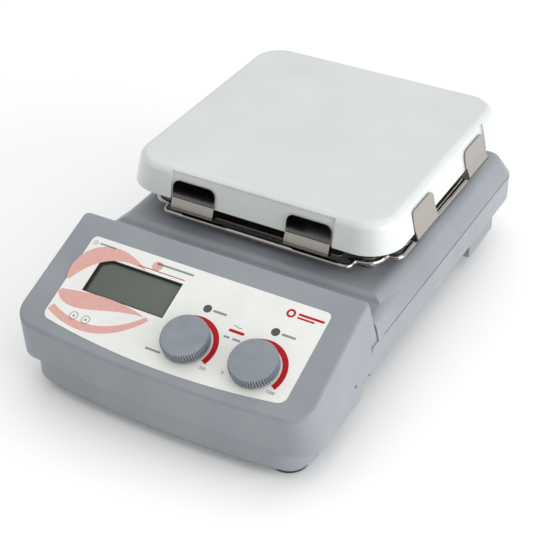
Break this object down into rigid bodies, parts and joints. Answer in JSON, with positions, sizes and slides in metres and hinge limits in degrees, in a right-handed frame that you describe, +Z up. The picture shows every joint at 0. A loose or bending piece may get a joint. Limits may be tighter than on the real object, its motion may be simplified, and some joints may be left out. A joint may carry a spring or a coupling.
{
  "type": "magnetic stirrer",
  "caption": "Bench hot-plate magnetic stirrer with a square ceramic-faced plate held by the tabs of a steel sheet and a sloping console with a display and push-and-turn knobs.",
  "frame": {"origin": "on the bench surface under the middle of the whole part", "axes": "+Z up, front with the controls towards -Y, +X to the right seen from the front"},
  "size_m": [0.215, 0.3596, 0.112],
  "materials": {
    "housing_paint": "satin powder coat on cast aluminium",
    "rubber": "matt",
    "zinc_steel": "zinc plated",
    "label_film": "printed satin film",
    "black_plastic": "moulded satin",
    "lcd_glass": "display glass with grey-green film",
    "circuit_board": "solder mask",
    "led_lens": "smoked lens",
    "knob_plastic": "moulded, ribbed side",
    "white_enamel": "glossy ceramic enamel on an aluminium plate",
    "stainless_sheet": "polished sheet",
    "post_steel": "turned and polished",
    "ceramic_fibre": "pressed fibre board",
    "mica": "pressed mica sheet",
    "magnet_arm": "machined",
    "magnet_nickel": "nickel plated"
  },
  "bodies": {
    "base": {"upper_housing": "housing_paint", "base_pan": "housing_paint", "foot_front_left": "rubber", "foot_front_right": "rubber", "foot_rear_left": "rubber", "foot_rear_right": "rubber", "foot_screws": "zinc_steel", "case_screws": "zinc_steel", "control_overlay": "label_film", "lcd_frame": "black_plastic", "lcd_glass": "lcd_glass", "lcd_module": "black_plastic", "display_board": "circuit_board", "board_screws": "zinc_steel", "heat_led": "led_lens", "heat_encoder": "zinc_steel", "stir_led": "led_lens", "stir_encoder": "zinc_steel", "switch_body": "black_plastic", "work_plate": "white_enamel", "reflector": "stainless_sheet", "tab_sheet": "stainless_sheet", "plate_post_1": "post_steel", "plate_post_2": "post_steel", "plate_post_3": "post_steel", "plate_post_4": "post_steel", "insulation": "ceramic_fibre", "heater": "mica", "temperature_probe": "post_steel", "motor_can": "zinc_steel", "motor_bracket": "zinc_steel", "motor_screws": "zinc_steel", "main_board": "circuit_board", "transformer": "black_plastic", "heatsink": "magnet_arm", "fan_frame": "black_plastic", "power_inlet": "black_plastic", "inlet_pins": "magnet_nickel", "sensor_socket": "magnet_nickel", "rod_boss": "housing_paint"},
    "heat_button": {"heat_plunger": "black_plastic"},
    "heat_dial": {"heat_shaft": "zinc_steel", "heat_knob": "knob_plastic"},
    "stir_button": {"stir_plunger": "black_plastic"},
    "stir_dial": {"stir_shaft": "zinc_steel", "stir_knob": "knob_plastic"},
    "power_switch": {"power_rocker": "black_plastic"},
    "drive_rotor": {"motor_shaft": "post_steel", "magnet_carrier": "magnet_arm", "drive_magnets": "magnet_nickel"},
    "fan": {"fan_rotor": "black_plastic"},
    "fuse_holder": {"fuse_drawer": "black_plastic"}
  },
  "joints": [
    {"name": "heat_push", "type": "slide", "parent": "base", "child": "heat_button", "axis": [0, 0.3733, -0.9277], "range_m": [0, 0.0007], "stiffness_N_per_m": 900, "springref_m": -0.0015},
    {"name": "heat_turn", "type": "hinge", "parent": "heat_button", "child": "heat_dial", "pos_m": [0.0122, -0.15302, 0.06322], "axis": [0, -0.3733, 0.9277], "continuous": true},
    {"name": "stir_push", "type": "slide", "parent": "base", "child": "stir_button", "axis": [0, 0.3733, -0.9277], "range_m": [0, 0.0007], "stiffness_N_per_m": 900, "springref_m": -0.0015},
    {"name": "stir_turn", "type": "hinge", "parent": "stir_button", "child": "stir_dial", "pos_m": [0.0596, -0.15302, 0.06322], "axis": [0, -0.3733, 0.9277], "continuous": true},
    {"name": "switch_rock", "type": "hinge", "parent": "base", "child": "power_switch", "pos_m": [-0.101, -0.132, 0.045], "axis": [0, 0, 1], "range_deg": [0, 16]},
    {"name": "motor_spin", "type": "hinge", "parent": "base", "child": "drive_rotor", "pos_m": [0, 0.041, 0.06], "axis": [0, 0, 1], "continuous": true},
    {"name": "fan_spin", "type": "hinge", "parent": "base", "child": "fan", "pos_m": [-0.028, -0.042, 0.02], "axis": [0, 0, 1], "continuous": true},
    {"name": "fuse_slide", "type": "slide", "parent": "base", "child": "fuse_holder", "axis": [0, 1, 0], "range_m": [0, 0.012]}
  ]
}
